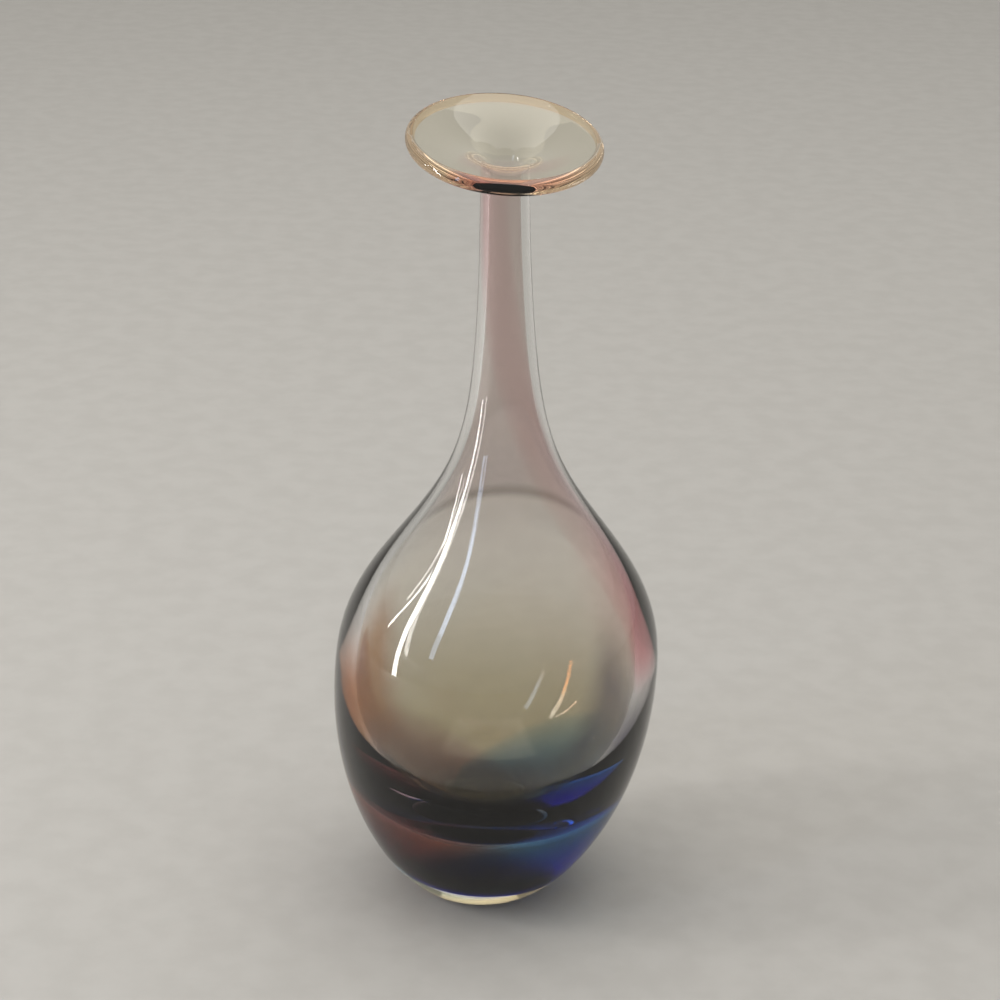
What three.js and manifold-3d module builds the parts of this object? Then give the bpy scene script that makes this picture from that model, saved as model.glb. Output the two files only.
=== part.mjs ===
// Hand blown bottle vase: a flask-shaped bubble of pale straw glass with a heavy
// gather of the same glass under it, cups and trails of coloured glass laid on
// them, and a casing of clear glass over them all, ground flat at the foot. The
// casing flows round the colours, so it has a pocket for each. The lip is spun
// out into a tilted dish and its edge is wrapped with an amber thread.
//
// Millimetres, +Z up. The origin is on the resting plane, under the middle of
// the belly. -Y is the front. Angles round the vase start at +X, on the right,
// and turn towards +Y, at the back.

import * as THREE from 'three';
import { mergeVertices } from 'three/addons/utils/BufferGeometryUtils.js';
import Module from 'manifold-3d';

// Outer shape.
const FOOT_RADIUS = 24;
const BELLY_RADIUS = 63.5;
const BELLY_HEIGHT = 92;
const NECK_RADIUS = 8.8;
const NECK_ROOT_HEIGHT = 192;
const LIP_HEIGHT = 305;
const LIP_RADIUS = 36.4;
const LIP_EDGE_RADIUS = 2.8;
const LIP_FLARE_HEIGHT = 12;
const LIP_UNDERSIDE_RADIUS = 20;
const LIP_UNDERSIDE_DEPTH = 5;
const LIP_ROOT_DEPTH = 7;

// How the outer skin swells below the belly and falls away above it.
const BELLY_FULLNESS = 2.08;
const FOOT_ROUNDNESS = 0.75;
const SHOULDER_LENGTH = 68.6;
const SHOULDER_ROUNDNESS = 2.88;
const NECK_SWELL = 19.8;
const NECK_SWELL_LENGTH = 97;

// Inner shape: a chamber that follows the outer skin above the belly and has a
// heavy floor, the bore of the neck and the dish of the lip.
const CHAMBER_HEIGHT = 98;
const CHAMBER_FLOOR_HEIGHT = 36;
const CHAMBER_ROUNDNESS = 0.85;
const BELLY_WALL = 7.5;
const NECK_WALL = 3.4;
const MOUTH_RADIUS = 14;
const MOUTH_DEPTH = 4.5;

// The lean that free blowing left: the body leans one way, the neck comes back.
const BODY_LEAN = 0.047;
const NECK_RETURN = 0.076;
const BEND_HEIGHT = 151;
const BEND_SOFTNESS = 6;
const LIP_NOD = Math.tan(THREE.MathUtils.degToRad(12.6));
const LIP_LIST = Math.tan(THREE.MathUtils.degToRad(-2.8));
const TILT_START = 20;
const TILT_END = 6;

// Thickness of each layer of the wall, from the chamber outwards: in the body
// and in the neck and lip. The gather sags into a thick floor under the chamber
// and runs out at the belly.
const CLEARANCE = 0.6;
const BUBBLE_WALL = { body: 2.2, neck: 0.8 };
const GATHER_FLOOR = 19;
const GATHER_RIM = 1;
const GATHER_SAG_START = 0.1;
const GATHER_SAG_END = 0.8;
const GATHER_FADE = 0.15;
const INNER_COLOUR = { body: 1.3, neck: 0.5 };
const OUTER_COLOUR = { body: 1.5, neck: 0.5 };
const THINNING_START = 1.1;

// A place along the wall is a station: 0 is the middle of the foot, 1 the
// belly, 2 the root of the neck, 3 the top of the neck and 4 the lip's edge.
const STATION_STEPS = [10, 10, 5, 8];
const LIP_STATION = STATION_STEPS.length;
const FOOT_SHARE = 0.3;
const FOOT_CROWDING = 1.5;
const TURN_STEPS = 36;
const TRAIL_STEPS = 16;

const { lerp, clamp, degToRad, smoothstep } = THREE.MathUtils;

const wasm = await Module();
wasm.setup();

// Radius of the outer skin at a height, below the lip.
function outerRadius(height) {
  if (height < BELLY_HEIGHT) {
    const drop = 1 - height / BELLY_HEIGHT;
    const swell = (1 - drop ** BELLY_FULLNESS) ** FOOT_ROUNDNESS;
    return lerp(FOOT_RADIUS, BELLY_RADIUS, swell);
  }
  const rise = height - BELLY_HEIGHT;
  const shoulder = BELLY_RADIUS - NECK_RADIUS - NECK_SWELL;
  const body = shoulder * Math.exp(-((rise / SHOULDER_LENGTH) ** SHOULDER_ROUNDNESS));
  const swell = NECK_SWELL * Math.exp(-((rise / NECK_SWELL_LENGTH) ** 2));
  return NECK_RADIUS + body + swell;
}

// Radius of the chamber and the bore at a height, above the chamber's middle.
function innerRadius(height) {
  const thinned = smoothstep(height, CHAMBER_HEIGHT, NECK_ROOT_HEIGHT);
  return outerRadius(height) - lerp(BELLY_WALL, NECK_WALL, thinned);
}

// Height of a station between the belly and the top of the neck, from the
// height where that stretch starts.
function stretchHeight(station, start) {
  if (station < 2) {
    return lerp(start, NECK_ROOT_HEIGHT, station - 1);
  }
  return lerp(NECK_ROOT_HEIGHT, LIP_HEIGHT - LIP_FLARE_HEIGHT, station - 2);
}

const neckTop = LIP_HEIGHT - LIP_FLARE_HEIGHT;
const lipInset = LIP_RADIUS - LIP_EDGE_RADIUS - CLEARANCE;

// Underside of the lip, from the neck out to the edge.
const lipUnderside = new THREE.CubicBezierCurve(
  new THREE.Vector2(outerRadius(neckTop), neckTop),
  new THREE.Vector2(outerRadius(neckTop), LIP_HEIGHT - LIP_ROOT_DEPTH),
  new THREE.Vector2(LIP_UNDERSIDE_RADIUS, LIP_HEIGHT - LIP_UNDERSIDE_DEPTH),
  new THREE.Vector2(lipInset, LIP_HEIGHT - LIP_EDGE_RADIUS),
);

// Dish of the lip, from the bore through the mouth and out to the edge.
const lipDish = new THREE.CubicBezierCurve(
  new THREE.Vector2(innerRadius(neckTop), neckTop),
  new THREE.Vector2(innerRadius(neckTop), LIP_HEIGHT - MOUTH_DEPTH),
  new THREE.Vector2(MOUTH_RADIUS, LIP_HEIGHT),
  new THREE.Vector2(lipInset, LIP_HEIGHT + LIP_EDGE_RADIUS),
);

// Point of the outer skin at a station, as radius and height.
function outerSkin(station) {
  if (station < FOOT_SHARE) {
    return new THREE.Vector2((FOOT_RADIUS * station) / FOOT_SHARE, 0);
  }
  if (station < 1) {
    const height = BELLY_HEIGHT * ((station - FOOT_SHARE) / (1 - FOOT_SHARE)) ** FOOT_CROWDING;
    return new THREE.Vector2(outerRadius(height), height);
  }
  if (station < 3) {
    const height = stretchHeight(station, BELLY_HEIGHT);
    return new THREE.Vector2(outerRadius(height), height);
  }
  return lipUnderside.getPoint(station - 3);
}

// Point of the chamber, bore or dish at a station, as radius and height.
function innerSkin(station) {
  if (station < 1) {
    const swing = (station * Math.PI) / 2;
    const depth = CHAMBER_HEIGHT - CHAMBER_FLOOR_HEIGHT;
    return new THREE.Vector2(
      innerRadius(CHAMBER_HEIGHT) * Math.sin(swing) ** CHAMBER_ROUNDNESS,
      CHAMBER_HEIGHT - depth * Math.cos(swing) ** CHAMBER_ROUNDNESS,
    );
  }
  if (station < 3) {
    const height = stretchHeight(station, CHAMBER_HEIGHT);
    return new THREE.Vector2(innerRadius(height), height);
  }
  return lipDish.getPoint(station - 3);
}

// Thickness of one layer at a station: it thins from the body to the neck.
function thickness(layer, station) {
  return lerp(layer.body, layer.neck, smoothstep(station, THINNING_START, 2));
}

// Thickness of the gather at a station, with the clearance outside it. Above
// the belly there is no gather, and the layers over it close in on the bubble.
function gatherThickness(station) {
  const sag = lerp(GATHER_FLOOR, GATHER_RIM, smoothstep(station, GATHER_SAG_START, GATHER_SAG_END));
  return (sag + CLEARANCE) * (1 - smoothstep(station, 1, 1 + GATHER_FADE));
}

// How far out from the chamber each layer starts and ends at a station. The
// colours lie in pockets of the casing.
function layerSpan(name, station) {
  const bubble = thickness(BUBBLE_WALL, station);
  const gather = bubble + CLEARANCE;
  const inner = gather + gatherThickness(station);
  const innerEnd = inner + thickness(INNER_COLOUR, station);
  const outer = innerEnd + CLEARANCE;
  const wall = innerSkin(station).distanceTo(outerSkin(station));
  return {
    bubble: [0, bubble],
    gather: [gather, inner - CLEARANCE],
    innerColour: [inner, innerEnd],
    outerColour: [outer, outer + thickness(OUTER_COLOUR, station)],
    casing: [inner, wall],
  }[name];
}

// Sideways offset of the vase's centre line at a height.
function lean(height) {
  const bent = BEND_SOFTNESS * Math.log1p(Math.exp((height - BEND_HEIGHT) / BEND_SOFTNESS));
  const level = BEND_SOFTNESS * Math.log1p(Math.exp((BELLY_HEIGHT - BEND_HEIGHT) / BEND_SOFTNESS));
  return BODY_LEAN * (height - BELLY_HEIGHT) - NECK_RETURN * (bent - level);
}

// Place in space of a point of the wall's section, turned round the vase. The
// neck is upright and the lip tilted.
function placed(section, turn) {
  const across = section.x * Math.cos(turn);
  const back = section.x * Math.sin(turn);
  const tilt = smoothstep(section.y, LIP_HEIGHT - TILT_START, LIP_HEIGHT - TILT_END);
  const height = section.y + tilt * (LIP_NOD * back + LIP_LIST * across);
  return new THREE.Vector3(across + lean(section.y), back, height);
}

// Point of the wall's section inside a layer: share 0 is the layer's inner face
// and share 1 its outer face, each moved out by a margin.
function layerSection(name, station, share, margin) {
  const [start, end] = layerSpan(name, station);
  const inner = innerSkin(station);
  const outer = outerSkin(station);
  const depth = lerp(start - margin, end + margin, share) / inner.distanceTo(outer);
  return inner.lerp(outer, depth);
}

// Moves every vertex of a geometry by a function, and welds it into one body.
function reshaped(geometry, move) {
  const position = geometry.getAttribute('position');
  const vertex = new THREE.Vector3();
  for (let i = 0; i < position.count; i += 1) {
    vertex.fromBufferAttribute(position, i);
    position.setXYZ(i, ...move(vertex).toArray());
  }
  geometry.deleteAttribute('normal');
  geometry.deleteAttribute('uv');
  const welded = mergeVertices(geometry, 1e-3);
  const corners = Array.from(welded.getIndex().array);
  const kept = [];
  for (let i = 0; i < corners.length; i += 3) {
    const [a, b, c] = corners.slice(i, i + 3);
    if (a !== b && b !== c && c !== a) {
      kept.push(a, b, c);
    }
  }
  welded.setIndex(kept);
  welded.computeVertexNormals();
  return welded;
}

// Stations from the middle of the foot up to the last one.
function stationsTo(last) {
  const stations = [0];
  for (let stretch = 0; stretch < last; stretch += 1) {
    const steps = STATION_STEPS[stretch];
    for (let step = 1; step <= steps; step += 1) {
      stations.push(stretch + step / steps);
    }
  }
  return stations;
}

// A cup of one layer all round the vase. Its rim is at the last station, times
// a share that may change round the vase. With a margin it is a larger cup, for
// the pocket that the cup lies in.
function cup(name, last, rimShare = () => 1, margin = 0) {
  const stations = stationsTo(last);
  const inside = stations.map((station) => new THREE.Vector2(station, 1));
  const outside = stations.map((station) => new THREE.Vector2(station, 0));
  const section = [...outside, ...inside.reverse()];
  const disc = new THREE.LatheGeometry(section, TURN_STEPS);
  return reshaped(disc, (vertex) => {
    const turn = Math.atan2(vertex.x, vertex.z);
    const rim = last * rimShare(turn) + margin / BELLY_RADIUS;
    const station = Math.min(Math.hypot(vertex.x, vertex.z), rim);
    return placed(layerSection(name, station, 1 - vertex.y, margin), turn);
  });
}

// A trail of one layer between two stations. Its middle and its half width, in
// degrees round the vase, follow curves through values evenly spaced along it.
// With a margin it is a larger trail, for the pocket that the trail lies in.
function trail(name, [first, last], middles, halfWidths, margin = 0) {
  const between = stationsTo(LIP_STATION).filter((station) => station > first && station < last);
  const reach = margin / BELLY_RADIUS;
  const stations = [first - reach, ...between, last + reach];
  const spline = (values) => new THREE.SplineCurve(values.map((value) => new THREE.Vector2(0, value)));
  const middle = spline(middles);
  const halfWidth = spline(halfWidths);
  const steps = stations.length - 1;
  const block = new THREE.BoxGeometry(1, 1, 1, TRAIL_STEPS, steps, 1);
  return reshaped(block, (vertex) => {
    const station = stations[Math.round((vertex.y + 0.5) * steps)];
    const share = clamp((station - first) / (last - first), 0, 1);
    const section = layerSection(name, station, 0.5 + vertex.z, margin);
    const reachRound = degToRad(halfWidth.getPoint(share).y) + margin / section.x;
    return placed(section, degToRad(middle.getPoint(share).y) + 2 * vertex.x * reachRound);
  });
}

// Cuts solids out of a body.
function cutOut(body, tools) {
  const solid = (geometry) => new wasm.Manifold(new wasm.Mesh({
    numProp: 3,
    vertProperties: new Float32Array(geometry.getAttribute('position').array),
    triVerts: new Uint32Array(geometry.getIndex().array),
  }));
  const mesh = tools.reduce((left, tool) => left.subtract(solid(tool)), solid(body)).getMesh();
  const geometry = new THREE.BufferGeometry();
  geometry.setAttribute('position', new THREE.BufferAttribute(mesh.vertProperties, 3));
  geometry.setIndex(new THREE.BufferAttribute(mesh.triVerts, 1));
  geometry.computeVertexNormals();
  return geometry;
}

// The thread round the lip: a half round bead that closes the lip's edge.
function lipThread() {
  const steps = 8;
  const section = [];
  for (let step = 0; step <= steps; step += 1) {
    const swing = lerp(-Math.PI / 2, Math.PI / 2, step / steps);
    const radius = LIP_RADIUS - LIP_EDGE_RADIUS + LIP_EDGE_RADIUS * Math.cos(swing);
    section.push(new THREE.Vector2(radius, LIP_EDGE_RADIUS * Math.sin(swing)));
  }
  section.push(section[0].clone());
  const ring = new THREE.LatheGeometry(section, TURN_STEPS);
  return reshaped(ring, (vertex) => {
    const turn = Math.atan2(vertex.x, vertex.z);
    const radius = Math.hypot(vertex.x, vertex.z);
    return placed(new THREE.Vector2(radius, LIP_HEIGHT + vertex.y), turn);
  });
}

// Adds one piece to the vase.
function add(group, name, geometry, colour, roughness) {
  const material = new THREE.MeshStandardMaterial({ color: colour, roughness, metalness: 0 });
  const mesh = new THREE.Mesh(geometry, material);
  mesh.name = name;
  group.add(mesh);
}

// A rim that stands highest towards one side of the vase.
function slantedRim(mean, rise, side) {
  return (turn) => mean + rise * Math.cos(turn - degToRad(side));
}

// The coloured pieces, each with the margin that its pocket needs added. The
// plum gives way to the amber, which lies at the same depth.
const plumCup = (margin) => cup('innerColour', 1, slantedRim(0.5, 0.32, 200), margin);
const cobaltCup = (margin) => cup('outerColour', 1, slantedRim(0.48, 0.3, 350), margin);
const amberTrail = (margin) => trail('innerColour', [0.6, 1.1],
  [182, 180, 178, 175], [16, 20, 14, 6], margin);
const roseTrail = (margin) => trail('innerColour', [1, 3.9],
  [-12, -18, -42, -95, -140, -110, -72], [18, 20, 30, 48, 62, 64, 60], margin);
const pockets = [plumCup, cobaltCup, amberTrail, roseTrail].map((piece) => piece(CLEARANCE));

const vase = new THREE.Group();
add(vase, 'inner_bubble', cup('bubble', LIP_STATION), '#cfc5a2', 0.05);
add(vase, 'straw_gather', cup('gather', 1), '#d6caa0', 0.05);
add(vase, 'plum_gather', cutOut(plumCup(0), [amberTrail(CLEARANCE)]), '#4a2430', 0.05);
add(vase, 'cobalt_gather', cobaltCup(0), '#0a1a66', 0.05);
add(vase, 'amber_trail', amberTrail(0), '#a5521c', 0.05);
add(vase, 'rose_trail', roseTrail(0), '#b97f80', 0.05);
add(vase, 'clear_casing', cutOut(cup('casing', LIP_STATION), pockets), '#d9dcd6', 0.03);
add(vase, 'lip_thread', lipThread(), '#b0792b', 0.05);

export default vase;
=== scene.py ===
"""Hand blown bottle vase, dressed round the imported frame.

Every layer of glass is a piece of its own: a straw bubble with the chamber,
bore and dish, gathers and trails of coloured glass on it, a clear
casing over them all and an amber thread round the lip. Lengths are in
millimetres inside the shape's own arithmetic and in metres in the scene.
"""

from __future__ import annotations

import logging
import math
from dataclasses import dataclass, field
from enum import Enum
from typing import Any, Sequence

import bmesh
import bpy
from mathutils import Matrix, Vector

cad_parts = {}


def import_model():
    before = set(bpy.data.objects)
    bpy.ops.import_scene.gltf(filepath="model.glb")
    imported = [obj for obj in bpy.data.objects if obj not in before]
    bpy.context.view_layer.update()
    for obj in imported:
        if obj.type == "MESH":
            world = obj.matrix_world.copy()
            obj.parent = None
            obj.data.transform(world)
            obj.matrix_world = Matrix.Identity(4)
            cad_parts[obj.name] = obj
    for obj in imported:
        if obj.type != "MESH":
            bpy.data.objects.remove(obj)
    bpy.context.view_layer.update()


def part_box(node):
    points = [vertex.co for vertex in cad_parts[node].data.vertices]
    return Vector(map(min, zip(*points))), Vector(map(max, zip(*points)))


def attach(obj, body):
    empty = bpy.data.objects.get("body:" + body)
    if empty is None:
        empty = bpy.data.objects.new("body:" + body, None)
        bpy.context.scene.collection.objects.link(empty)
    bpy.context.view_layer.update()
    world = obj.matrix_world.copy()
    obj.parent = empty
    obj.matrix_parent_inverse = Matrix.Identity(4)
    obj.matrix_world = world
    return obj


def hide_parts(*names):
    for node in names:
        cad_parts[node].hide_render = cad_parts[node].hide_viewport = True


LOG = logging.getLogger("vase")
MM = 0.001
BELLY = 1
NECK_ROOT = 2
NECK_TOP = 3
BODY = "root"


# ---------------------------------------------------------------- arithmetic


def lerp(start: float, end: float, share: float) -> float:
    """Returns the value a share of the way from start to end."""
    return start + (end - start) * share


def smoothstep(value: float, low: float, high: float) -> float:
    """Returns 0 below low, 1 above high and a smooth rise between them."""
    share = min(max((value - low) / (high - low), 0.0), 1.0)
    return share * share * (3.0 - 2.0 * share)


def spline(values: Sequence[float], share: float) -> float:
    """Reads a smooth curve through evenly spaced values.

    Args:
        values: the curve's values, from its start to its end.
        share: the place along the curve, from 0 to 1.

    Returns:
        The curve's value there, by a Catmull-Rom spline.
    """
    place = min(max(share, 0.0), 1.0) * (len(values) - 1)
    index = min(int(place), len(values) - 2)
    t = place - index
    before = values[max(index - 1, 0)]
    start = values[index]
    end = values[index + 1]
    after = values[min(index + 2, len(values) - 1)]
    bend = 2 * before - 5 * start + 4 * end - after
    twist = 3 * (start - end) + after - before
    return start + 0.5 * t * (end - before + t * (bend + t * twist))


# -------------------------------------------------------------- shape of glass


@dataclass(frozen=True)
class Layer:
    """Thickness of one layer of glass, in millimetres: in the body and in the neck."""

    body: float
    neck: float
    thinning_start: float = 1.1

    def thickness(self, station: float) -> float:
        """Returns the thickness at a station of the wall."""
        return lerp(self.body, self.neck, smoothstep(station, self.thinning_start, NECK_ROOT))


@dataclass(frozen=True)
class Gather:
    """Thickness of a gather that sags under the chamber and runs out at the belly."""

    floor: float
    rim: float
    fade: float
    sag_start: float = 0.1
    sag_end: float = 0.8

    def thickness(self, station: float) -> float:
        """Returns the thickness at a station of the wall."""
        sag = lerp(self.floor, self.rim, smoothstep(station, self.sag_start, self.sag_end))
        return sag * (1 - smoothstep(station, 1.0, 1.0 + self.fade))


class Level(Enum):
    """The layers of the wall, from the chamber outwards."""

    BUBBLE = "bubble"
    GATHER = "gather"
    INNER_COLOUR = "inner colour"
    OUTER_COLOUR = "outer colour"
    CASING = "casing"


@dataclass(frozen=True)
class VaseForm:
    """The blown shape, in millimetres, with +Z up and the front at -Y.

    A place along the wall is a station: 0 is the middle of the foot, 1 the
    belly, 2 the root of the neck, 3 its top and 4 the edge of the lip.
    """

    belly_radius: float
    lip_radius: float
    foot_radius: float = 24.0
    belly_height: float = 92.0
    neck_radius: float = 8.8
    neck_root_height: float = 192.0
    lip_height: float = 305.0
    lip_edge_radius: float = 2.8
    lip_flare_height: float = 12.0
    belly_fullness: float = 2.08
    foot_roundness: float = 0.75
    shoulder_length: float = 68.6
    shoulder_roundness: float = 2.88
    neck_swell: float = 19.8
    neck_swell_length: float = 97.0
    chamber_height: float = 98.0
    chamber_floor_height: float = 36.0
    chamber_roundness: float = 0.85
    belly_wall: float = 7.5
    neck_wall: float = 3.4
    body_lean: float = 0.047
    neck_return: float = 0.076
    bend_height: float = 151.0
    bend_softness: float = 6.0
    lip_nod: float = math.tan(math.radians(12.6))
    lip_list: float = math.tan(math.radians(-2.8))
    tilt_start: float = 20.0
    tilt_end: float = 6.0
    lip_underside_radius: float = 20.0
    lip_underside_depth: float = 5.0
    lip_root_depth: float = 7.0
    mouth_radius: float = 14.0
    mouth_depth: float = 4.5
    clearance: float = 0.05
    foot_share: float = 0.3
    foot_crowding: float = 1.5
    layers: dict[Level, Layer | Gather] = field(
        default_factory=lambda: {
            Level.BUBBLE: Layer(body=2.2, neck=0.8),
            Level.GATHER: Gather(floor=19.0, rim=1.0, fade=0.15),
            Level.INNER_COLOUR: Layer(body=1.3, neck=0.5),
            Level.OUTER_COLOUR: Layer(body=1.5, neck=0.5),
        }
    )

    @property
    def neck_top(self) -> float:
        """Returns the height where the neck starts to flare into the lip."""
        return self.lip_height - self.lip_flare_height

    @property
    def lip_inset(self) -> float:
        """Returns the radius where the dish ends and the lip's thread starts."""
        return self.lip_radius - self.lip_edge_radius - self.clearance

    def outer_radius(self, height: float) -> float:
        """Returns the radius of the outer skin at a height below the lip."""
        if height < self.belly_height:
            drop = 1 - height / self.belly_height
            swell = (1 - drop**self.belly_fullness) ** self.foot_roundness
            return lerp(self.foot_radius, self.belly_radius, swell)
        rise = height - self.belly_height
        shoulder = self.belly_radius - self.neck_radius - self.neck_swell
        body = shoulder * math.exp(-((rise / self.shoulder_length) ** self.shoulder_roundness))
        swell = self.neck_swell * math.exp(-((rise / self.neck_swell_length) ** 2))
        return self.neck_radius + body + swell

    def inner_radius(self, height: float) -> float:
        """Returns the radius of the chamber or the bore at a height."""
        thinned = smoothstep(height, self.chamber_height, self.neck_root_height)
        return self.outer_radius(height) - lerp(self.belly_wall, self.neck_wall, thinned)

    def stretch_height(self, station: float, start: float) -> float:
        """Returns the height of a station between the belly and the neck's top."""
        if station < NECK_ROOT:
            return lerp(start, self.neck_root_height, station - BELLY)
        return lerp(self.neck_root_height, self.neck_top, station - NECK_ROOT)

    def outer_skin(self, station: float) -> Vector:
        """Returns the outer skin's radius and height at a station."""
        if station < self.foot_share:
            return Vector((self.foot_radius * station / self.foot_share, 0.0))
        if station < BELLY:
            share = (station - self.foot_share) / (1 - self.foot_share)
            height = self.belly_height * share**self.foot_crowding
            return Vector((self.outer_radius(height), height))
        if station < NECK_TOP:
            height = self.stretch_height(station, self.belly_height)
            return Vector((self.outer_radius(height), height))
        radius = self.outer_radius(self.neck_top)
        corners = (
            Vector((radius, self.neck_top)),
            Vector((radius, self.lip_height - self.lip_root_depth)),
            Vector((self.lip_underside_radius, self.lip_height - self.lip_underside_depth)),
            Vector((self.lip_inset, self.lip_height - self.lip_edge_radius)),
        )
        return bezier(corners, station - NECK_TOP)

    def inner_skin(self, station: float) -> Vector:
        """Returns the radius and height of the chamber, bore or dish at a station."""
        if station < BELLY:
            swing = station * math.pi / 2
            depth = self.chamber_height - self.chamber_floor_height
            radius = self.inner_radius(self.chamber_height) * math.sin(swing) ** self.chamber_roundness
            return Vector((radius, self.chamber_height - depth * math.cos(swing) ** self.chamber_roundness))
        if station < NECK_TOP:
            height = self.stretch_height(station, self.chamber_height)
            return Vector((self.inner_radius(height), height))
        corners = (
            Vector((self.inner_radius(self.neck_top), self.neck_top)),
            Vector((self.inner_radius(self.neck_top), self.lip_height - self.mouth_depth)),
            Vector((self.mouth_radius, self.lip_height)),
            Vector((self.lip_inset, self.lip_height + self.lip_edge_radius)),
        )
        return bezier(corners, station - NECK_TOP)

    def span(self, level: Level, station: float) -> tuple[float, float]:
        """Returns how far from the chamber a layer starts and ends at a station."""
        start = 0.0
        for name, layer in self.layers.items():
            end = start + layer.thickness(station)
            if name is level:
                return start, end
            start = end + self.clearance
        wall = (self.outer_skin(station) - self.inner_skin(station)).length
        return start, wall

    def lean(self, height: float) -> float:
        """Returns the sideways offset of the centre line at a height."""

        def past_bend(level: float) -> float:
            """Returns how far a height is past the bend, with a soft start."""
            past = (level - self.bend_height) / self.bend_softness
            return self.bend_softness * math.log1p(math.exp(past))

        returned = past_bend(height) - past_bend(self.belly_height)
        return self.body_lean * (height - self.belly_height) - self.neck_return * returned

    def placed(self, section: Vector, turn: float) -> Vector:
        """Puts a point of the wall's section in the scene.

        Args:
            section: radius and height, in millimetres.
            turn: angle round the vase, in radians from +X towards +Y.

        Returns:
            The point in metres, with the body's lean and the lip's tilt.
        """
        across = section.x * math.cos(turn)
        back = section.x * math.sin(turn)
        tilt = smoothstep(section.y, self.lip_height - self.tilt_start, self.lip_height - self.tilt_end)
        height = section.y + tilt * (self.lip_nod * back + self.lip_list * across)
        return Vector((across + self.lean(section.y), back, height)) * MM

    def in_layer(self, level: Level, station: float, share: float, turn: float) -> Vector:
        """Returns a point inside a layer: share 0 is its inner face, 1 its outer."""
        start, end = self.span(level, station)
        inner = self.inner_skin(station)
        outer = self.outer_skin(station)
        depth = lerp(start, end, share) / (outer - inner).length
        return self.placed(inner.lerp(outer, depth), turn)


def bezier(corners: Sequence[Vector], share: float) -> Vector:
    """Returns the point a share of the way along a cubic curve with four corners."""
    back = 1 - share
    weights = (back**3, 3 * back**2 * share, 3 * back * share**2, share**3)
    return sum((corner * weight for corner, weight in zip(corners, weights)), Vector((0.0, 0.0)))


# ------------------------------------------------------------------- shaders


class Channel:
    """A shader socket that takes part in Python expressions."""

    def __init__(self, bench: "Bench", socket: bpy.types.NodeSocket) -> None:
        """Wraps one output socket of a bench's node tree."""
        self.bench = bench
        self.socket = socket

    def math(self, operation: str, *values: Any) -> "Channel":
        """Returns a new channel from a Math node on the given values."""
        return self.bench.node("ShaderNodeMath", {"operation": operation}, list(values))

    def __add__(self, other: Any) -> "Channel":
        """Returns the sum."""
        return self.math("ADD", self, other)

    __radd__ = __add__

    def __sub__(self, other: Any) -> "Channel":
        """Returns the difference."""
        return self.math("SUBTRACT", self, other)

    def __rsub__(self, other: Any) -> "Channel":
        """Returns the reflected difference."""
        return self.math("SUBTRACT", other, self)

    def __mul__(self, other: Any) -> "Channel":
        """Returns the product."""
        return self.math("MULTIPLY", self, other)

    __rmul__ = __mul__

    def __truediv__(self, other: Any) -> "Channel":
        """Returns the quotient."""
        return self.math("DIVIDE", self, other)

    def __pow__(self, other: Any) -> "Channel":
        """Returns the power."""
        return self.math("POWER", self, other)

    def ramp(self, low: float, high: float) -> "Channel":
        """Returns a smooth rise from 0 at low to 1 at high."""
        settings = {"interpolation_type": "SMOOTHSTEP"}
        values = {"Value": self, "From Min": low, "From Max": high}
        return self.bench.node("ShaderNodeMapRange", settings, values)


class Bench:
    """Builds the node tree of one material."""

    def __init__(self, name: str) -> None:
        """Starts an empty material of the given name."""
        self.material = bpy.data.materials.new(name)
        self.material.use_nodes = True
        self.tree = self.material.node_tree
        self.tree.nodes.clear()

    def node(
        self,
        kind: str,
        settings: dict[str, Any] | None = None,
        values: dict[str, Any] | list[Any] | None = None,
        output: str | int = 0,
    ) -> Channel:
        """Adds a node, sets it up and wires it.

        Args:
            kind: the node's type.
            settings: properties of the node, set before its sockets.
            values: numbers, colours or channels for its input sockets.
            output: the output socket to return.

        Returns:
            The chosen output as a channel.
        """
        node = self.tree.nodes.new(kind)
        for name, value in (settings or {}).items():
            setattr(node, name, value)
        pairs = enumerate(values) if isinstance(values, list) else (values or {}).items()
        for name, value in pairs:
            if isinstance(value, Channel):
                self.tree.links.new(value.socket, node.inputs[name])
            else:
                node.inputs[name].default_value = value
        return Channel(self, node.outputs[output])

    def place(self) -> Channel:
        """Returns the object coordinates, which are the scene's own."""
        return self.node("ShaderNodeTexCoord", output="Object")

    def axes(self) -> tuple[Channel, Channel, Channel]:
        """Returns the object coordinates as three channels, in metres."""
        split = self.node("ShaderNodeSeparateXYZ", values=[self.place()])
        outputs = split.socket.node.outputs
        return tuple(Channel(self, outputs[axis]) for axis in "XYZ")

    def noise(self, scale: float, stretch: Sequence[float] = (1, 1, 1), detail: float = 2.0) -> Channel:
        """Returns a noise of 0 to 1 with the given scale per metre."""
        spot = self.node("ShaderNodeMapping", values={"Vector": self.place(), "Scale": tuple(stretch)})
        return self.node("ShaderNodeTexNoise", values={"Vector": spot, "Scale": scale, "Detail": detail})

    def blend(self, share: Channel | float, first: Any, second: Any) -> Channel:
        """Returns a colour blended from first to second by a share."""
        settings = {"data_type": "RGBA", "blend_type": "MIX"}
        return self.node("ShaderNodeMix", settings, {0: share, 6: first, 7: second}, output=2)

    def bump(self, height: Channel, strength: float, distance: float) -> Channel:
        """Returns a normal that follows a height."""
        values = {"Height": height, "Strength": strength, "Distance": distance}
        return self.node("ShaderNodeBump", values=values)

    def finish(self, surface: Channel, volume: Channel | None = None) -> bpy.types.Material:
        """Wires the shaders to the output and returns the material."""
        output = self.tree.nodes.new("ShaderNodeOutputMaterial")
        self.tree.links.new(surface.socket, output.inputs["Surface"])
        if volume is not None:
            self.tree.links.new(volume.socket, output.inputs["Volume"])
        return self.material


Colour = tuple[float, float, float, float]
WHITE: Colour = (1.0, 1.0, 1.0, 1.0)


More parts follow.
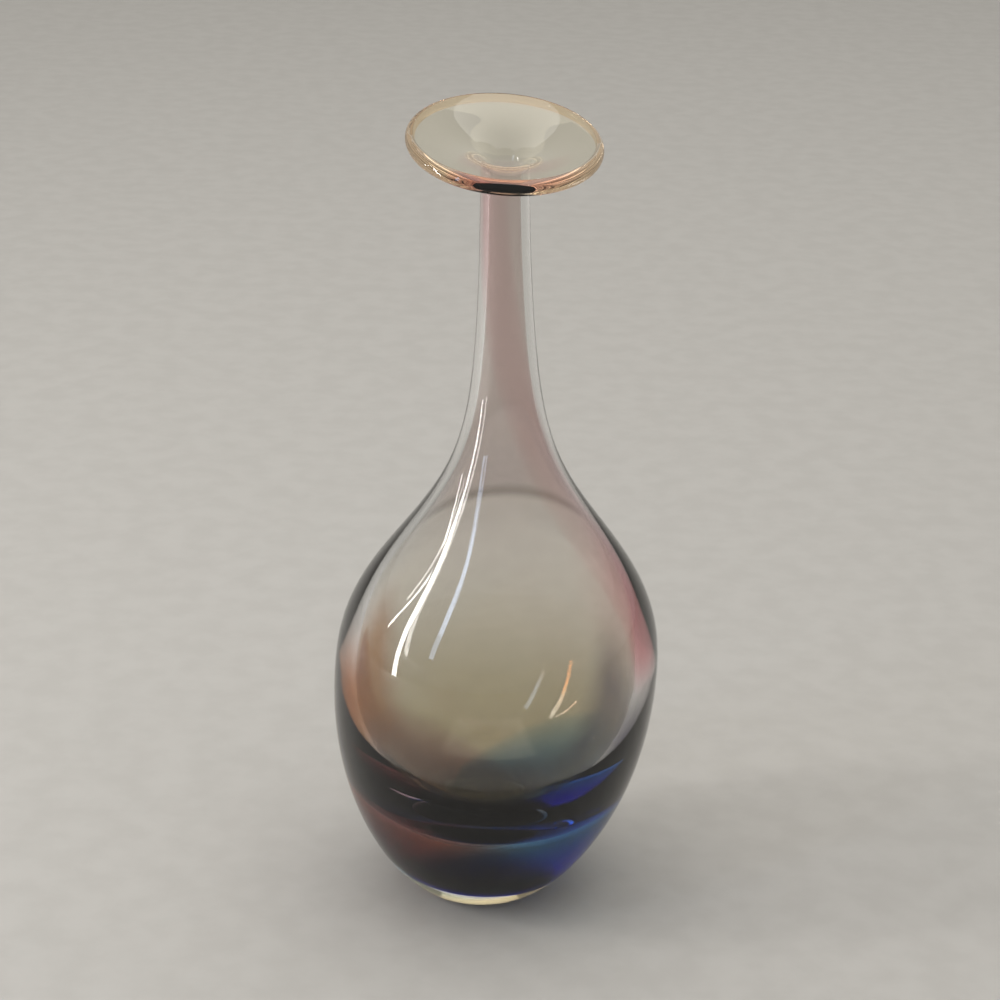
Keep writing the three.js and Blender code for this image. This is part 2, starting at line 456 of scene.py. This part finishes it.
@dataclass(frozen=True)
class Skin:
    """A fire polished face of glass, with slow waves and a tint for what passes."""

    name: str
    tint: Colour = (1.0, 1.0, 1.0, 1.0)
    cast: Colour = (0.985, 0.99, 0.985, 1.0)
    wave: float = 0.05
    wave_depth: float = 0.004
    satin_below: float = 0.0
    satin: float = 0.42

    def material(self) -> bpy.types.Material:
        """Builds the material for this glass's outer faces."""
        bench = Bench(self.name)
        values: dict[str, Any] = {
            "Base Color": self.colour(bench),
            "Roughness": 0.0,
            "IOR": 1.5,
            "Transmission Weight": 1.0,
        }
        if self.satin_below > 0:
            height = bench.axes()[2]
            values["Roughness"] = self.satin * (1 - height.ramp(0.5 * self.satin_below, self.satin_below))
        waves = bench.noise(26.0, (1.0, 1.0, 0.5), 1.0)
        values["Normal"] = bench.bump(waves, self.wave, self.wave_depth)
        return bench.finish(bench.node("ShaderNodeBsdfPrincipled", values=values))

    def colour(self, bench: Bench) -> Channel:
        """Returns the tint for what passes, which drifts slowly over the glass."""
        drift = bench.noise(22.0, (1.0, 1.0, 0.4), 2.0).ramp(0.3, 0.7)
        return bench.blend(drift, self.tint, self.cast)


@dataclass(frozen=True)
class VeiledSkin(Skin):
    """The bubble's inner face: straw below, under a mauve veil in the shoulder and neck."""

    deep: Colour = (0.38, 0.32, 0.16, 1.0)
    veil: Colour = (0.68, 0.59, 0.56, 1.0)
    edge: Colour = (0.22, 0.18, 0.15, 1.0)
    lip: Colour = (0.92, 0.86, 0.66, 1.0)
    veil_height: float = 0.155
    veil_slant: float = 0.05
    line_width: float = 0.006
    line_strength: float = 0.85
    lip_height: float = 0.292
    lip_fade: float = 0.008

    def colour(self, bench: Bench) -> Channel:
        """Returns the tint: golden at the floor, pale in the body, mauve above it."""
        across, back, height = bench.axes()
        pale = super().colour(bench)
        straw = bench.blend(height.ramp(0.050, 0.140), self.deep, pale)
        slant = height - across * self.veil_slant
        behind = back.ramp(-0.004, 0.012)
        sharp = slant.ramp(self.veil_height - 0.0015, self.veil_height + 0.0015)
        soft = slant.ramp(self.veil_height - 0.020, self.veil_height + 0.030)
        body = bench.blend(soft * (1 - behind) + sharp * behind, straw, self.veil)
        off = slant - self.veil_height
        line = (1 - off.math("ABSOLUTE", off).ramp(0.0, self.line_width)) * behind
        lined = bench.blend(line * self.line_strength, body, self.edge)
        dish = height.ramp(self.lip_height, self.lip_height + self.lip_fade)
        return bench.blend(dish, lined, self.lip)


@dataclass(frozen=True)
class Blush:
    """A soft patch of tint on one side of the casing, between two heights.

    The side is an angle round the vase, in degrees, and the heights are in metres.
    """

    tint: Colour
    side: float
    low: float
    high: float
    fade: float = 0.018
    edge_facing: float = 0.68
    full_facing: float = 0.91

    def share(self, bench: Bench) -> Channel:
        """Returns how strongly the patch colours each place."""
        across, back, height = bench.axes()
        radius = (across * across + back * back) ** 0.5
        turn = math.radians(self.side)
        facing = (across * math.cos(turn) + back * math.sin(turn)) / radius
        rise = height.ramp(self.low - self.fade, self.low + self.fade)
        fall = height.ramp(self.high - self.fade, self.high + self.fade)
        return facing.ramp(self.edge_facing, self.full_facing) * rise * (1 - fall)


@dataclass(frozen=True)
class BlushedSkin(Skin):
    """The casing's face, with soft patches of tint at its sides, among them a painted reflection and
    painted shade at its edges.
    """

    blushes: tuple[Blush, ...] = ()

    def colour(self, bench: Bench) -> Channel:
        """Returns the tint for what passes, through every patch in turn."""
        tint = super().colour(bench)
        for blush in self.blushes:
            tint = bench.blend(blush.share(bench), tint, blush.tint)
        return tint


@dataclass(frozen=True)
class Body:
    """Glass fused into its neighbours, so that light crosses its faces unbent.

    The body colour is what light keeps after passing one depth of the glass.
    """

    name: str
    kept: tuple[float, float, float] = (1.0, 1.0, 1.0)
    depth: float = 0.001

    def material(self) -> bpy.types.Material:
        """Builds the material for a piece that lies inside the wall."""
        bench = Bench(self.name)
        values = {"Base Color": WHITE, "Roughness": 0.0, "IOR": 1.0, "Transmission Weight": 1.0}
        surface = bench.node("ShaderNodeBsdfPrincipled", values=values)
        volume = self.absorption(bench) if min(self.kept) < 1.0 else None
        return bench.finish(surface, volume)

    def absorption(self, bench: Bench) -> Channel:
        """Returns the volume that gives the glass its body colour."""
        rates = [-math.log(share) / self.depth for share in self.kept]
        density = max(rates) * 1.02
        colour = tuple(1 - rate / density for rate in rates) + (1.0,)
        return bench.node("ShaderNodeVolumeAbsorption", values={"Color": colour, "Density": density})


# -------------------------------------------------------------------- pieces


def face_outwards(bm: bmesh.types.BMesh) -> None:
    """Turns the faces of a closed mesh outwards."""
    bmesh.ops.recalc_face_normals(bm, faces=bm.faces)
    if bm.calc_volume(signed=True) < 0:
        bmesh.ops.reverse_faces(bm, faces=bm.faces)


def piece_from(
    bm: bmesh.types.BMesh, name: str, materials: Sequence[bpy.types.Material]
) -> bpy.types.Object:
    """Makes a smooth shaded object of a finished mesh.

    Args:
        bm: the finished mesh, in metres. It is freed.
        name: the piece's name.
        materials: the materials its faces refer to.

    Returns:
        The new object, at the origin.
    """
    mesh = bpy.data.meshes.new(name)
    bm.to_mesh(mesh)
    bm.free()
    for material in materials:
        mesh.materials.append(material)
    mesh.shade_smooth()
    mesh.set_sharp_from_angle(angle=math.radians(40.0))
    piece = bpy.data.objects.new(name, mesh)
    bpy.context.scene.collection.objects.link(piece)
    return piece


def hand_over(piece: bpy.types.Object, slot: str, *nodes: str) -> bpy.types.Object:
    """Lets a piece ride on the body and stand for its CAD nodes.

    Args:
        piece: the finished piece.
        slot: the piece's material slot; not used.
        nodes: the CAD nodes that the piece replaces.

    Returns:
        The same piece.
    """
    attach(piece, BODY)
    if nodes:
        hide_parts(*nodes)
    LOG.info("%s: %d faces", piece.name, len(piece.data.polygons))
    return piece


@dataclass
class Cup:
    """A layer of glass all round the vase, from the foot up to a rim."""

    form: VaseForm
    name: str
    level: Level
    last: float
    turns: int = 160
    rim_mean: float = 1.0
    rim_rise: float = 0.0
    rim_side: float = 0.0
    taper: float = 0.0
    thinnest: float = 0.02
    steps: tuple[int, ...] = (64, 52, 24, 44)

    def stations(self) -> list[float]:
        """Returns the stations of the cup's rings, from the middle of the foot."""
        stations = [0.0]
        for stretch in range(math.ceil(self.last)):
            count = self.steps[stretch]
            stations += [stretch + step / count for step in range(1, count + 1)]
        return stations

    def rim(self, turn: float) -> float:
        """Returns the share of the stations that the cup reaches at a turn."""
        return self.rim_mean + self.rim_rise * math.cos(turn - math.radians(self.rim_side))

    def shape(self) -> bmesh.types.BMesh:
        """Spins the cup's section and lays it in its layer of the wall."""
        bm = bmesh.new()
        stations = self.stations()
        corners = [(station, 1.0) for station in stations]
        corners += [(station, 0.0) for station in reversed(stations)]
        section = [bm.verts.new((radius, 0.0, height)) for radius, height in corners]
        edges = [bm.edges.new(pair) for pair in zip(section, section[1:])]
        bmesh.ops.spin(
            bm,
            geom=section + edges,
            axis=(0, 0, 1),
            cent=(0, 0, 0),
            angle=2 * math.pi,
            steps=self.turns,
            use_merge=True,
        )
        bmesh.ops.remove_doubles(bm, verts=bm.verts, dist=1e-6)
        self.mark(bm)
        for vert in bm.verts:
            turn = math.atan2(vert.co.y, vert.co.x)
            reach = vert.co.xy.length
            share = lerp(0.5, vert.co.z, self.thinning(reach / self.last))
            vert.co = self.form.in_layer(self.level, reach * self.rim(turn), share, turn)
        face_outwards(bm)
        return bm

    def thinning(self, reach: float) -> float:
        """Returns the share of its full thickness that the cup keeps at a reach."""
        if self.taper <= 0:
            return 1.0
        return max(math.sqrt(1 - smoothstep(reach, 1 - self.taper, 1.0)), self.thinnest)

    def mark(self, bm: bmesh.types.BMesh) -> None:
        """Gives the faces fused to other glass the second material."""
        if self.level not in (Level.BUBBLE, Level.CASING):
            return
        free = 1.0 if self.level is Level.CASING else 0.0
        for face in bm.faces:
            face.material_index = 0 if all(abs(v.co.z - free) < 0.1 for v in face.verts) else 1


@dataclass
class Trail:
    """A trail of coloured glass laid along the wall, thin at its edges."""

    form: VaseForm
    name: str
    level: Level
    first: float
    last: float
    middles: tuple[float, ...]
    half_widths: tuple[float, ...]
    across: int = 48
    along: int = 160
    full_until: float = 0.88
    thinnest: float = 0.01

    def shape(self) -> bmesh.types.BMesh:
        """Shapes the trail from a grid, as a lens that thins to its edges."""
        bm = bmesh.new()
        bmesh.ops.create_grid(bm, x_segments=self.across, y_segments=self.along, size=1.0)
        shell = bmesh.ops.extrude_face_region(bm, geom=bm.faces[:])
        raised = [item for item in shell["geom"] if isinstance(item, bmesh.types.BMVert)]
        bmesh.ops.translate(bm, verts=raised, vec=(0, 0, 1))
        for vert in bm.verts:
            across, along, side = vert.co
            share = (along + 1) / 2
            station = lerp(self.first, self.last, share)
            turn = spline(self.middles, share) + across * spline(self.half_widths, share)
            ends = 1 - smoothstep(abs(along), self.full_until, 1.0)
            fullness = math.sqrt(max(1 - across * across, 0.0) * ends)
            depth = lerp(0.5, side, max(fullness, self.thinnest))
            vert.co = self.form.in_layer(self.level, station, depth, math.radians(turn))
        face_outwards(bm)
        return bm


@dataclass
class LipThread:
    """The half round thread that closes the edge of the lip."""

    form: VaseForm
    turns: int = 160
    steps: int = 24

    def shape(self) -> bmesh.types.BMesh:
        """Spins the thread's half round section and tilts it with the lip."""
        form = self.form
        bm = bmesh.new()
        section = []
        for step in range(self.steps + 1):
            swing = lerp(-math.pi / 2, math.pi / 2, step / self.steps)
            radius = form.lip_radius - form.lip_edge_radius * (1 - math.cos(swing))
            height = form.lip_height + form.lip_edge_radius * math.sin(swing)
            section.append(bm.verts.new((radius, 0.0, height)))
        loop = section + section[:1]
        edges = [bm.edges.new(pair) for pair in zip(loop, loop[1:])]
        bmesh.ops.spin(
            bm,
            geom=section + edges,
            axis=(0, 0, 1),
            cent=(0, 0, 0),
            angle=2 * math.pi,
            steps=self.turns,
            use_merge=True,
        )
        seam = form.lip_radius - form.lip_edge_radius
        for face in bm.faces:
            inward = all(vert.co.xy.length < seam + 0.01 for vert in face.verts)
            face.material_index = 1 if inward else 0
        for vert in bm.verts:
            turn = math.atan2(vert.co.y, vert.co.x)
            vert.co = form.placed(Vector((vert.co.xy.length, vert.co.z)), turn)
        face_outwards(bm)
        return bm


@dataclass
class Vase:
    """The whole vase, built from its layers in the order they are gathered."""

    form: VaseForm

    def bubble(self) -> bpy.types.Object:
        """Builds the straw bubble with the chamber, bore and dish."""
        skin = VeiledSkin("straw glass", tint=(0.93, 0.89, 0.82, 1.0), cast=(0.95, 0.91, 0.85, 1.0))
        shape = Cup(self.form, "inner_bubble_glass", Level.BUBBLE, 4.0).shape()
        fused = Body("straw glass fused")
        piece = piece_from(shape, "inner_bubble_glass", [skin.material(), fused.material()])
        return hand_over(piece, "straw_glass", "inner_bubble")

    def gather(self) -> bpy.types.Object:
        """Builds the heavy straw gather that makes the floor of the chamber."""
        glass = Body("straw gather glass", kept=(0.87, 0.76, 0.60), depth=0.020)
        cup = Cup(self.form, "straw_gather_glass", Level.GATHER, 1.0)
        piece = piece_from(cup.shape(), cup.name, [glass.material()])
        return hand_over(piece, "straw_glass", "straw_gather")

    def plum(self) -> bpy.types.Object:
        """Builds the plum cup under the chamber's floor."""
        glass = Body("plum glass", kept=(0.30, 0.16, 0.23), depth=0.0013)
        cup = Cup(self.form, "plum_gather_glass", Level.INNER_COLOUR, 1.0, rim_mean=0.5,
                  rim_rise=0.32, rim_side=200.0, taper=0.5)
        piece = piece_from(cup.shape(), cup.name, [glass.material()])
        return hand_over(piece, "plum_glass", "plum_gather")

    def cobalt(self) -> bpy.types.Object:
        """Builds the cobalt cup, highest on the right."""
        glass = Body("cobalt glass", kept=(0.015, 0.13, 0.84), depth=0.0015)
        cup = Cup(self.form, "cobalt_gather_glass", Level.OUTER_COLOUR, 1.0, rim_mean=0.48,
                  rim_rise=0.3, rim_side=350.0, taper=0.7)
        piece = piece_from(cup.shape(), cup.name, [glass.material()])
        return hand_over(piece, "cobalt_glass", "cobalt_gather")

    def amber(self) -> bpy.types.Object:
        """Builds the amber trail in the left wall."""
        glass = Body("amber glass", kept=(0.58, 0.24, 0.06), depth=0.0018)
        trail = Trail(self.form, "amber_trail_glass", Level.OUTER_COLOUR, 0.6, 1.1,
                      (182, 180, 178, 175), (16, 20, 14, 6))
        piece = piece_from(trail.shape(), trail.name, [glass.material()])
        return hand_over(piece, "amber_glass", "amber_trail")

    def rose(self) -> bpy.types.Object:
        """Builds the rose trail from the right shoulder up to the lip."""
        glass = Body("rose glass", kept=(0.93, 0.77, 0.78), depth=0.0008)
        trail = Trail(self.form, "rose_trail_glass", Level.INNER_COLOUR, 1.0, 3.9,
                      (-12, -18, -42, -95, -140, -110, -72), (18, 20, 30, 48, 62, 64, 60))
        piece = piece_from(trail.shape(), trail.name, [glass.material()])
        return hand_over(piece, "rose_glass", "rose_trail")

    def casing(self) -> bpy.types.Object:
        """Builds the clear casing with its ground foot."""
        # The rust tint on the left edge is a painted reflection: it stands in for what the glass there
        # reflects inside itself.
        left_edge_painted_reflection = Blush((0.52, 0.20, 0.08, 1.0), 180.0, 0.032, 0.108)
        # The dark tint on the right edge is painted shade.
        right_edge_painted_shade = Blush((0.12, 0.11, 0.20, 1.0), 0.0, 0.020, 0.088)
        rose = Blush((0.90, 0.70, 0.72, 1.0), 352.0, 0.112, 0.150)
        skin = BlushedSkin("clear glass", satin_below=0.0006, blushes=(left_edge_painted_reflection, right_edge_painted_shade, rose))
        shape = Cup(self.form, "clear_casing_glass", Level.CASING, 4.0).shape()
        fused = Body("clear glass fused")
        piece = piece_from(shape, "clear_casing_glass", [skin.material(), fused.material()])
        return hand_over(piece, "clear_crystal", "clear_casing")

    def lip(self) -> bpy.types.Object:
        """Builds the amber thread round the lip."""
        skin = Skin("amber thread glass", tint=(0.90, 0.62, 0.36, 1.0), cast=(0.93, 0.72, 0.50, 1.0))
        seam = Body("amber thread fused")
        shape = LipThread(self.form).shape()
        piece = piece_from(shape, "lip_thread_glass", [skin.material(), seam.material()])
        return hand_over(piece, "amber_thread", "lip_thread")


# -------------------------------------------------------------------- studio


@dataclass
class Studio:
    """The floor, the lights and the camera round the vase."""

    aim_height: float = 0.1647
    lit_height: float = 0.12
    distance: float = 1.0
    elevation: float = 22.0
    roll: float = 1.5
    lens: float = 93.6

    def floor(self) -> bpy.types.Object:
        """Lays a plain pale floor under the vase."""
        bm = bmesh.new()
        bmesh.ops.create_grid(bm, x_segments=1, y_segments=1, size=6.0)
        bench = Bench("floor")
        grain = bench.noise(60.0, detail=4.0).ramp(0.3, 0.7)
        colour = bench.blend(grain, (0.50, 0.485, 0.46, 1.0), (0.53, 0.515, 0.49, 1.0))
        surface = bench.node("ShaderNodeBsdfPrincipled", values={"Base Color": colour, "Roughness": 0.9})
        floor = piece_from(bm, "floor", [bench.finish(surface)])
        return floor

    def panel(
        self,
        name: str,
        place: Vector,
        size: tuple[float, float],
        radiance: float,
        tint: Colour,
        rise: Vector,
    ) -> None:
        """Hangs one rectangular light that faces the vase.

        Args:
            name: the light's name.
            place: where its middle is, in metres.
            size: its width and height, in metres.
            radiance: how bright its face is.
            tint: its colour.
            rise: the direction of its long side.
        """
        light = bpy.data.lights.new(name, "AREA")
        light.shape = "RECTANGLE"
        light.size, light.size_y = size
        light.energy = radiance * math.pi * size[0] * size[1]
        light.color = tint[:3]
        lamp = bpy.data.objects.new(name, light)
        back = (place - Vector((0.0, 0.0, self.lit_height))).normalized()
        side = rise.cross(back).normalized()
        turned = Matrix((side, back.cross(side), back)).transposed()
        lamp.matrix_world = Matrix.Translation(place) @ turned.to_4x4()
        bpy.context.scene.collection.objects.link(lamp)

    def lights(self) -> None:
        """Hangs the soft lights and sets the room's own glow."""
        warm = (1.0, 0.98, 0.95, 1.0)
        cool = (0.62, 0.76, 1.0, 1.0)
        panels = (
            ("overhead", (0.0, 0.2, 2.2), (2.4, 2.4), 1.3, warm, (0, 1, 0)),
            ("left strip", (-1.36, -0.30, 0.52), (0.10, 1.10), 24.0, warm, (0.22, 0.2, 1.05)),
            ("thin strip", (-1.40, 0.0, 0.72), (0.035, 0.62), 22.0, warm, (0.24, -0.24, 0.51)),
            ("cool strip", (-1.0, -0.84, 0.87), (0.10, 0.85), 6.0, cool, (0.31, 0.24, 0.75)),
        )
        for name, place, size, radiance, tint, rise in panels:
            self.panel(name, Vector(place), size, radiance, tint, Vector(rise))
        world = bpy.data.worlds.new("room")
        bpy.context.scene.world = world
        world.use_nodes = True
        background = world.node_tree.nodes["Background"]
        background.inputs["Color"].default_value = (0.50, 0.49, 0.465, 1.0)
        background.inputs["Strength"].default_value = 1.0

    def camera(self) -> None:
        """Stands the camera in front of the vase, looking slightly down."""
        tip = math.radians(self.elevation)
        turn = math.radians(self.roll)
        ahead = Vector((0.0, math.cos(tip), -math.sin(tip)))
        up = Vector((0.0, math.sin(tip), math.cos(tip)))
        right = Vector((1.0, 0.0, 0.0))
        rolled_right = right * math.cos(turn) + up * math.sin(turn)
        rolled_up = up * math.cos(turn) - right * math.sin(turn)
        place = Vector((0.0, 0.0, self.aim_height)) - ahead * self.distance
        data = bpy.data.cameras.new("camera")
        data.lens = self.lens
        data.sensor_width = 36.0
        camera = bpy.data.objects.new("camera", data)
        turned = Matrix((rolled_right, rolled_up, -ahead)).transposed()
        camera.matrix_world = Matrix.Translation(place) @ turned.to_4x4()
        bpy.context.scene.collection.objects.link(camera)
        bpy.context.scene.camera = camera

    def depth_of_light(self) -> None:
        """Lets light pass through every layer of the glass."""
        bpy.context.scene.view_settings.view_transform = "Standard"
        cycles = bpy.context.scene.cycles
        cycles.max_bounces = 40
        cycles.transmission_bounces = 40
        cycles.transparent_max_bounces = 64
        cycles.glossy_bounces = 16
        cycles.diffuse_bounces = 3


def main() -> None:
    """Builds the studio and the vase, piece by piece."""
    logging.basicConfig(level=logging.INFO, format="%(name)s: %(message)s")
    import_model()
    casing_low, casing_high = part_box("clear_casing")
    thread_low, thread_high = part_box("lip_thread")
    form = VaseForm(
        belly_radius=(casing_high.y - casing_low.y) / 2 / MM,
        lip_radius=(thread_high.x - thread_low.x) / 2 / MM,
    )
    studio = Studio()
    studio.camera()
    studio.floor()
    studio.lights()
    studio.depth_of_light()
    vase = Vase(form)
    gathers = (vase.bubble, vase.gather, vase.plum, vase.cobalt)
    for build in (*gathers, vase.amber, vase.rose, vase.casing, vase.lip):
        build()


if __name__ == "__main__":
    main()
